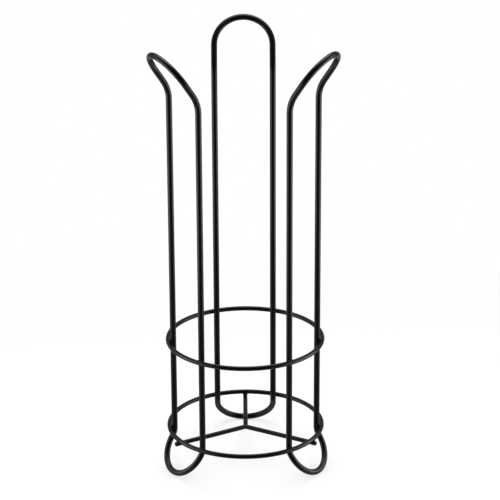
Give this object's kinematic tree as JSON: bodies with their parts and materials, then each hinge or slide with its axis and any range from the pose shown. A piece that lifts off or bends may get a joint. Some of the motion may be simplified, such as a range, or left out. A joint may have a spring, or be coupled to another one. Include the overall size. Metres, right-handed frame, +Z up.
{
  "type": "toilet roll storage holder",
  "caption": "Free-standing black wire rack that stores spare toilet rolls in a stack between flared wire uprights, with hoops round them and a spoked base.",
  "frame": {"origin": "on the floor, on the vertical axis of the hoops", "axes": "+Z up along the axis of the hoops; the back upright is towards +Y; the front faces -Y"},
  "size_m": [0.1708, 0.1657, 0.4082],
  "materials": {
    "black_coat": "satin black powder coat on steel wire"
  },
  "bodies": {
    "root": {"upright_back": "black_coat", "upright_left": "black_coat", "upright_right": "black_coat", "upper_hoop": "black_coat", "lower_hoop": "black_coat", "spoke_back": "black_coat", "spoke_left": "black_coat", "spoke_right": "black_coat", "upper_hoop_welds": "black_coat", "lower_hoop_welds": "black_coat", "spoke_welds": "black_coat", "hub_weld": "black_coat"}
  },
  "joints": []
}
